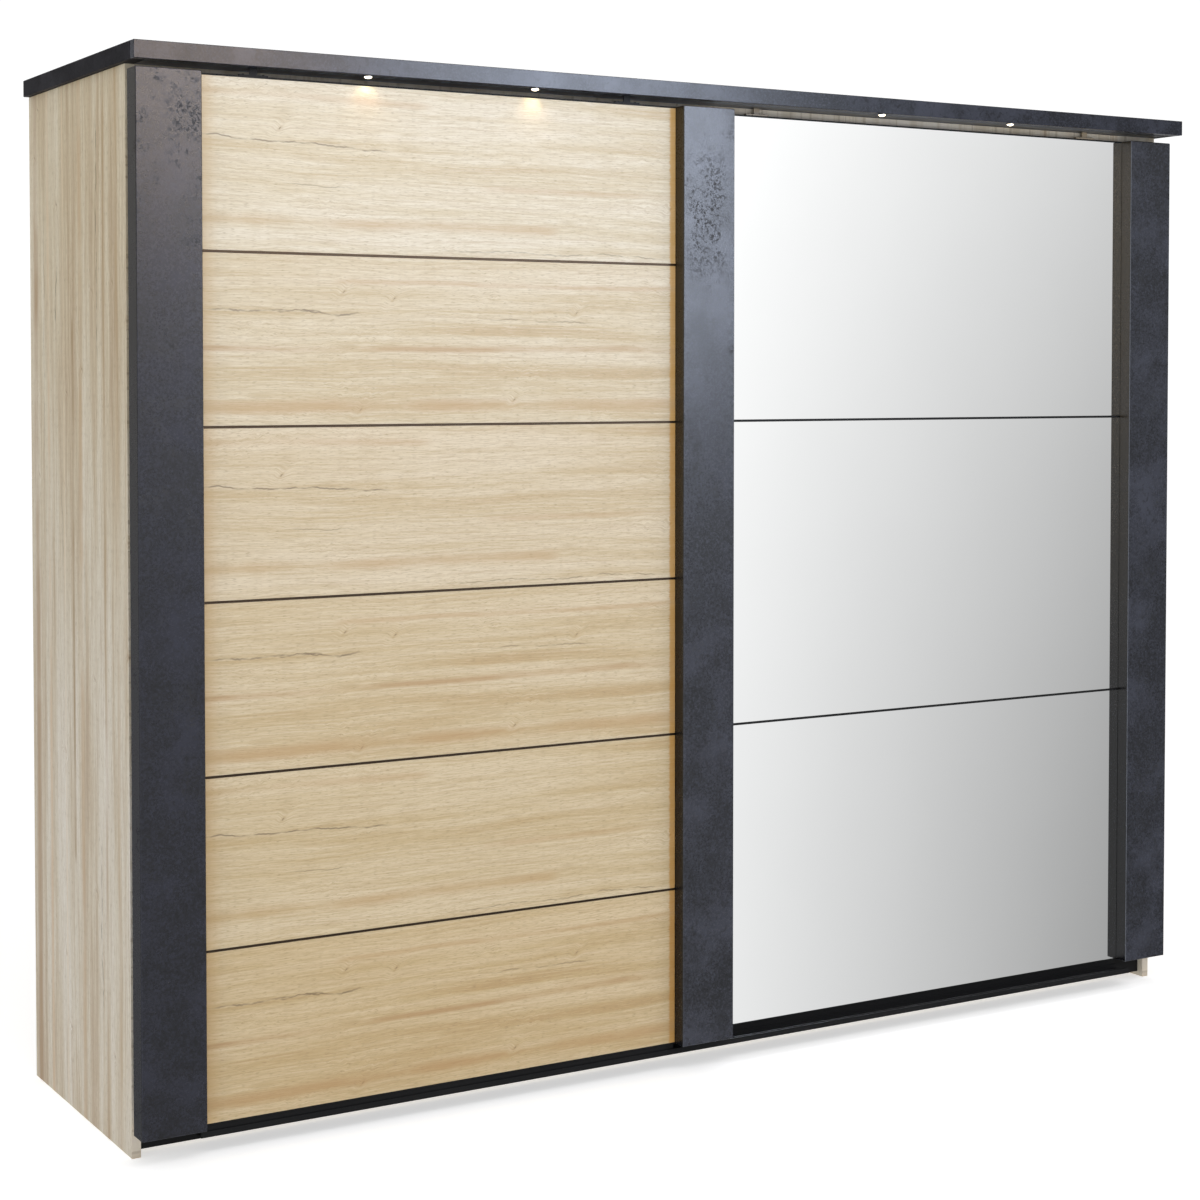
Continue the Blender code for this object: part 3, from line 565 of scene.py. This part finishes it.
def heads(name, look, places, material, body):
    # fixing heads: one outline turned about its axis, set at each place and facing a given way
    radius, tall, recess = look["radius"], look["tall"], look["recess"]
    single = spun([
        (0.0, recess), (0.30 * radius, recess), (0.36 * radius, 0.97 * tall), (0.64 * radius, 0.92 * tall),
        (0.90 * radius, 0.60 * tall), (radius, 0.15 * tall), (radius, 0.0), (0.0, 0.0)], look["steps"])
    pattern = bpy.data.meshes.new(name + "_pattern")
    single.to_mesh(pattern)
    single.free()
    shape = bmesh.new()
    for at, facing in places:
        before = len(shape.verts)
        shape.from_mesh(pattern)
        shape.verts.ensure_lookup_table()
        turn = Vector(facing).to_track_quat("Z", "Y").to_matrix().to_4x4()
        bmesh.ops.transform(shape, matrix=Matrix.Translation(at) @ turn, verts=shape.verts[before:])
    bpy.data.meshes.remove(pattern)
    piece = finished(name, shape, material)
    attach(piece, body)


zinc = drawnFinish("zinc_plated_steel", "#A7A9AB", 0.34, 0.5, 0.2)
capPlastic = coatedFinish("sand_caps", "#B7A688", 0.50, 1.2, 0.15)
stripPlastic = coatedFinish("pale_joint_strip", "#A89C86", 0.55, 1.5, 0.2)
up, down, rearward = (0, 0, 1), (0, 0, -1), (0, 1, 0)
ends = (-1, 1)
gap = 0.0003  # between pieces that rest on each other
topLow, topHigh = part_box("top_panel")
backLow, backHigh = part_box("back_panel_right")
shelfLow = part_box("hat_shelf_left")[0]
roof = topHigh.z + gap
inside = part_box("side_panel_right")[0].x - gap
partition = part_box("centre_partition")[1].x

# the top track's flange is screwed down to the top panel
screw = {"radius": 0.0042, "tall": 0.0018, "recess": 0.0007, "steps": 20}
heads("track_screws", screw, [((0.42 * n, -0.222, roof + 0.003), up) for n in range(-3, 4)], zinc, "carcass")

# corner blocks hold the cornice's sides to the top panel
cleat = {"deep": 0.0197, "halfLength": 0.020, "places": (-0.12, 0.09, 0.30), "screwInset": 0.0102}
cleats = [(end, depth) for end in ends for depth in cleat["places"]]
boxes = []
for end, depth in cleats:
    sides = sorted((end * (inside - cleat["deep"]), end * inside))
    boxes.append(((sides[0], depth - cleat["halfLength"], roof),
                  (sides[1], depth + cleat["halfLength"], roof + cleat["deep"])))
blocks("cornice_blocks", boxes, 0.0025, capPlastic, "carcass")
places = [((end * (inside - cleat["screwInset"]), depth, roof + cleat["deep"]), up) for end, depth in cleats]
heads("cornice_block_screws", screw, places, zinc, "carcass")

# folded brackets at the rear take the wall fixing
bracket = {"place": 0.9, "halfWidth": 0.020, "front": 0.300, "rear": 0.3515, "sheet": 0.002, "tall": 0.0297}
front, rear, sheet = bracket["front"], bracket["rear"], bracket["sheet"]
boxes, places = [], []
for end in ends:
    middle = end * bracket["place"]
    left, right = middle - bracket["halfWidth"], middle + bracket["halfWidth"]
    boxes += [((left, front, roof), (right, rear, roof + sheet)),
              ((left, rear - sheet, roof + 0.8 * sheet), (right, rear, roof + bracket["tall"]))]
    places += [((middle + step, 0.322, roof + sheet), up) for step in (-0.011, 0.011)]
blocks("wall_brackets", boxes, 0.0006, zinc, "carcass")
heads("wall_bracket_screws", screw, places, zinc, "carcass")

# the back: two hardboard panels nailed all round, with a strip over the joint
nail = {"radius": 0.0032, "tall": 0.0008, "recess": 0.0006, "steps": 12}
inset = 0.0095  # from a panel's edge
columns = [((side, backHigh.y, 0.20 + 0.20 * n), rearward)
           for side in (-inside + 0.0097, -0.020, 0.020, inside - 0.0097) for n in range(10)]
rows = [((end * (0.12 + 0.19 * n), backHigh.y, height), rearward)
        for end in ends for n in range(7) for height in (backLow.z + inset, backHigh.z - inset)]
heads("back_nails", nail, columns + rows, zinc, "carcass")
blocks("back_joint_strip", [((-0.012, backHigh.y, backLow.z + 0.0007), (0.012, backHigh.y + 0.0009,
                             backHigh.z - 0.0010))], 0.0003, stripPlastic, "carcass")

# inside: cam covers at the panels' ends, shelf pins, and sleeves for shelves set elsewhere
cover = {"radius": 0.0085, "tall": 0.0008, "recess": 0.0006, "steps": 24}
heights = ((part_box("bottom_panel")[1].z, up), (shelfLow.z, down), (topLow.z, down))
covers = [((end * (near + step), depth, height), facing) for end in ends
          for near, step in ((inside, -0.034), (partition + gap, 0.034)) for depth in (-0.14, 0.25)
          for height, facing in heights]
heads("cam_covers", cover, covers, capPlastic, "carcass")
walls = [(end * inside, (-end, 0, 0)) for end in ends] + [(end * partition, (end, 0, 0)) for end in ends]
pin = {"radius": 0.0026, "tall": 0.0090, "recess": 0.0088, "steps": 14}
heads("shelf_pins", pin, [((side, depth, shelfLow.z - 0.0028), facing) for side, facing in walls
                          for depth in (-0.19, 0.30)], zinc, "carcass")
sleeve = {"radius": 0.0034, "tall": 0.0004, "recess": 0.0002, "steps": 12}
heads("shelf_sleeves", sleeve, [((side, depth, 0.45 + 0.128 * n), facing) for side, facing in walls
                                for depth in (-0.19, 0.30) for n in range(9)], capPlastic, "carcass")

# screws in the hanging rails' flanges, and the shelves' front edge bands
small = {"radius": 0.0030, "tall": 0.0014, "recess": 0.0005, "steps": 16}
flanges = []
for rail in ("hanging_rail_left", "hanging_rail_right"):
    low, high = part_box(rail)
    axis = (low + high) / 2
    for side, facing in ((low.x + 0.004, (1, 0, 0)), (high.x - 0.004, (-1, 0, 0))):
        flanges += [((side, axis.y, axis.z + drop), facing) for drop in (-0.0175, 0.0175)]
heads("rail_flange_screws", small, flanges, zinc, "carcass")
shelves = [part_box(name) for name in ("hat_shelf_left", "hat_shelf_right")]
blocks("shelf_edges", [((low.x, low.y - 0.0006, low.z), (high.x, low.y, high.z)) for low, high in shelves],
       0.0002, capPlastic, "carcass")

# two screws through each hanger's plate into its door
for body, door, finish, slot in (("oak_door", "oak", hangerSteel, "black"),
                                 ("mirror_door", "mirror", sandSteel, "sand_coat")):
    seats = []
    for end in ("left", "right"):
        low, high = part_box(f"{door}_hanger_{end}")
        middle = (low + high) / 2
        seats += [((middle.x + step, middle.y, low.z + 0.003), up) for step in (-0.021, 0.021)]
    heads(f"{door}_hanger_screws", small, seats, finish, body)
print("fixings done")

# ---- floor, world and studio light

floorMaterial, _, floorShader = newMaterial("pale_floor")
floorShader.inputs["Base Color"].default_value = linear("#F6F6F6")
floorShader.inputs["Roughness"].default_value = 0.9
floorShader.inputs["Specular IOR Level"].default_value = 0.1
floorShader.inputs["Emission Color"].default_value = (1, 1, 1, 1)
floorShader.inputs["Emission Strength"].default_value = 0.56
floorShape = bmesh.new()
bmesh.ops.create_grid(floorShape, x_segments=2, y_segments=2, size=30)
floor = finished("floor", floorShape, floorMaterial)
floor.visible_glossy = False

# each fall starts at its "from", a component of the direction looked in, and grows by so much per unit of it
studio = {"surround": 1.06, "ambient": 0.50, "reflected": 1.15, "rightFrom": 0.54, "rightFall": 3.2,
          "floorFrom": 0.12, "floorFall": 0.80, "cornerFall": 0.75, "leftFrom": -0.1, "leftFall": 3.6,
          "darkest": 0.30, "darkestBehind": 0.10}
world = bpy.data.worlds.new("studio")
scene.world = world
world.use_nodes = True
worldTree = world.node_tree
direction = addNode(worldTree, "ShaderNodeTexCoord").outputs["Generated"]
heading = addNode(worldTree, "ShaderNodeSeparateXYZ", {0: direction})
# what the mirror and the satin boards reflect: white in front and to the left, falling off to the right,
# to the floor and, behind the wardrobe, to the left
beyond = calc(worldTree, "SUBTRACT", heading.outputs[0], studio["rightFrom"], clamp=True)
rightFall = calc(worldTree, "MULTIPLY", beyond, studio["rightFall"])
below = calc(worldTree, "SUBTRACT", studio["floorFrom"], heading.outputs[2], clamp=True)
floorFall = calc(worldTree, "MULTIPLY", below, studio["floorFall"])
leftward = calc(worldTree, "SUBTRACT", studio["leftFrom"], heading.outputs[0], clamp=True)
leftFall = calc(worldTree, "MULTIPLY", leftward,
                fade(worldTree, heading.outputs[1], 0.0, 0.5, 0.0, studio["leftFall"]))
corner = calc(worldTree, "MULTIPLY", calc(worldTree, "MULTIPLY", rightFall, floorFall), studio["cornerFall"])
reflected = studio["reflected"]
for fall in (rightFall, floorFall, corner):
    reflected = calc(worldTree, "SUBTRACT", reflected, fall)
reflected = calc(worldTree, "MAXIMUM", reflected, studio["darkest"])
reflected = calc(worldTree, "MAXIMUM", calc(worldTree, "SUBTRACT", reflected, leftFall),
                 studio["darkestBehind"])
rays = addNode(worldTree, "ShaderNodeLightPath").outputs
strength = addNode(worldTree, "ShaderNodeMix", {0: rays["Is Glossy Ray"], 2: studio["ambient"], 3: reflected},
                   data_type="FLOAT").outputs[0]
strength = addNode(worldTree, "ShaderNodeMix", {0: rays["Is Camera Ray"], 2: strength, 3: studio["surround"]},
                   data_type="FLOAT").outputs[0]
background = worldTree.nodes["Background"]
worldTree.links.new(strength, background.inputs["Strength"])
background.inputs["Color"].default_value = (1, 1, 1, 1)


def softBox(name, at, aim, size, power, colour="#FFFFFF", gloss=True):
    # gloss: a box that only puts a sheen on the satin boards, or one that only lights them
    data = bpy.data.lights.new(name, "AREA")
    data.shape = "RECTANGLE"
    data.size, data.size_y = size
    data.energy = power
    data.color = linear(colour)[:3]
    box = bpy.data.objects.new(name, data)
    scene.collection.objects.link(box)
    box.location = at
    box.rotation_euler = (Vector(aim) - Vector(at)).to_track_quat("-Z", "Y").to_euler()
    box.visible_camera = False
    box.visible_glossy = gloss
    box.visible_diffuse = not gloss


softBox("key_box", (-1.2, -3.6, 4.4), (-0.3, -0.3, 1.6), (3.2, 1.6), 62, gloss=False)
softBox("sheen_box", (2.05, -4.67, 2.66), (0.0, -0.35, 1.9), (1.4, 2.1), 205, "#DDE8FB")
softBox("warm_box", (0.35, -4.67, 3.10), (-0.9, -0.35, 1.9), (1.1, 1.3), 70, "#FFE8D6")
scene.view_settings.view_transform = "Standard"
scene.view_settings.look = "None"
